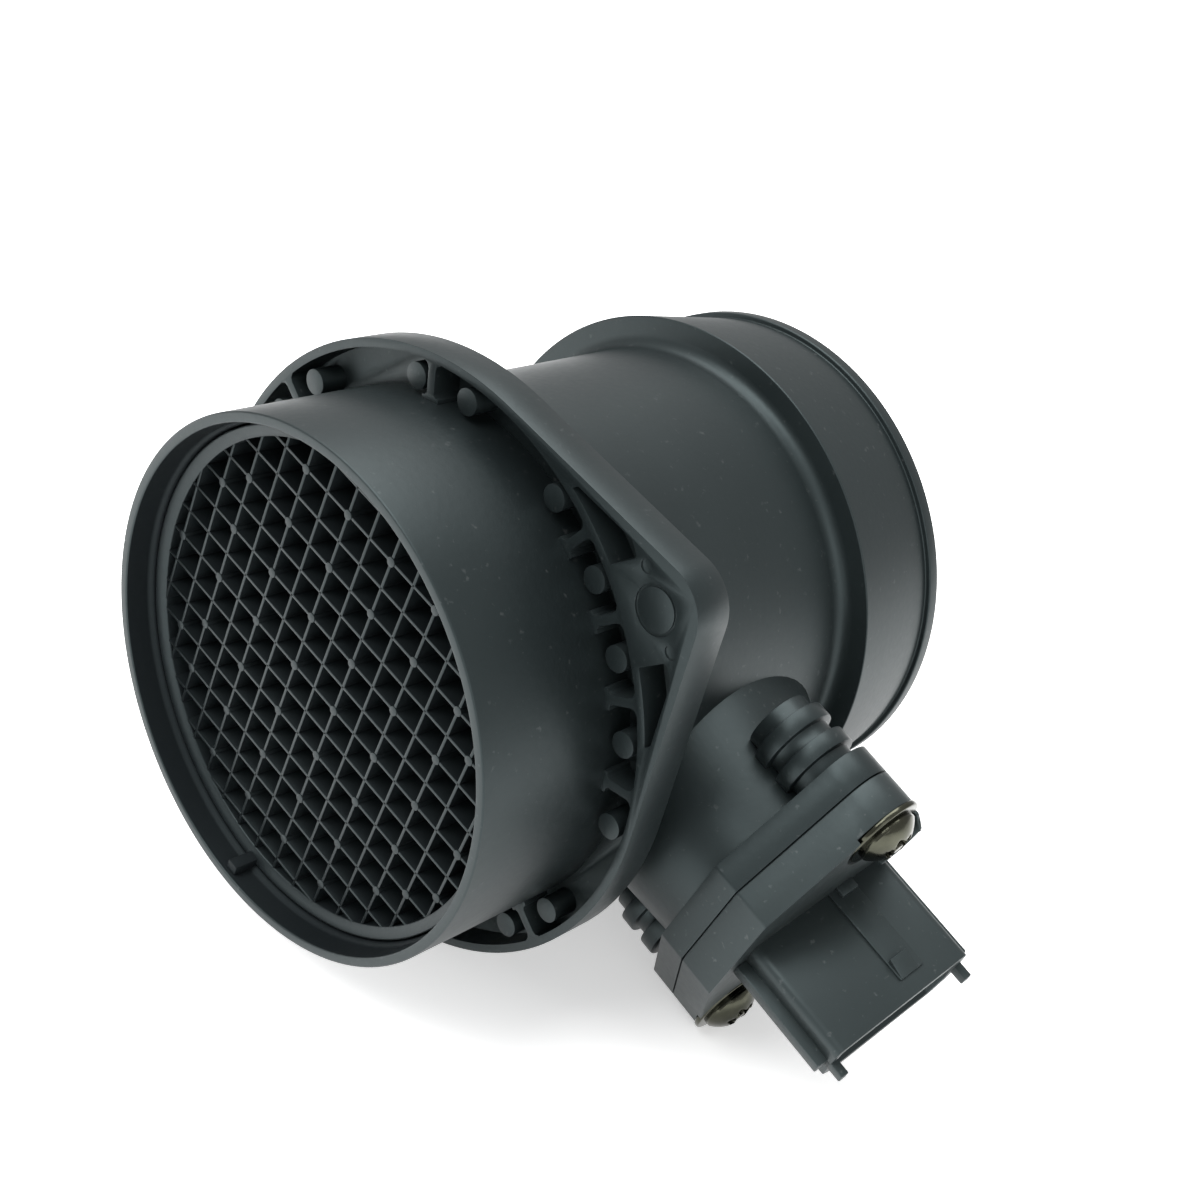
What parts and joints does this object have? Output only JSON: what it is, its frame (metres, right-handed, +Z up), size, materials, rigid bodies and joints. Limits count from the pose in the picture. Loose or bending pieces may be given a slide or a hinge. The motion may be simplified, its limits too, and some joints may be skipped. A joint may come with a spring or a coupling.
{
  "type": "mass airflow sensor",
  "caption": "Moulded duct with a latticed inlet, a ribbed flange with ears and a plug-in sensor with a cable header that measures the air an engine takes in.",
  "frame": {"origin": "on the duct axis, in the plane of the flange's front face, at the foot of the inlet spigot", "axes": "+X along the duct in the direction of the air, +Z up as the sensor lies on a table, +Y by the right-hand rule; the plug-in sensor points to -Y and a little down"},
  "size_m": [0.1077, 0.142, 0.0996],
  "materials": {
    "housing_plastic": "fine satin, moulded near-black with a faint cool tint",
    "grid_plastic": "satin, moulded near-black",
    "sensor_plastic": "satin, moulded near-black, slightly greyer than the duct",
    "seal_rubber": "matte black",
    "washer_steel": "bronze-brown passivated",
    "screw_steel": "bronze-brown passivated",
    "terminal_brass": "plated, satin",
    "cover_plastic": "satin black",
    "plate_aluminium": "plain",
    "board_plastic": "green lacquer",
    "chip_plastic": "smooth dark grey",
    "probe_plastic": "glossy black bead",
    "insert_brass": "plain turned"
  },
  "bodies": {
    "root": {"duct_housing": "housing_plastic", "inlet_grid": "grid_plastic", "sensor_body": "sensor_plastic", "seal_ring": "seal_rubber", "washer_rear": "washer_steel", "washer_front": "washer_steel", "screw_rear": "screw_steel", "screw_front": "screw_steel", "terminal_1": "terminal_brass", "terminal_2": "terminal_brass", "terminal_3": "terminal_brass", "terminal_4": "terminal_brass", "terminal_5": "terminal_brass", "electronics_cover": "cover_plastic", "bypass_cover": "cover_plastic", "carrier_plate": "plate_aluminium", "circuit_board": "board_plastic", "sensing_chip": "chip_plastic", "temperature_probe": "probe_plastic", "ear_insert_1": "insert_brass", "ear_insert_2": "insert_brass"}
  },
  "joints": []
}
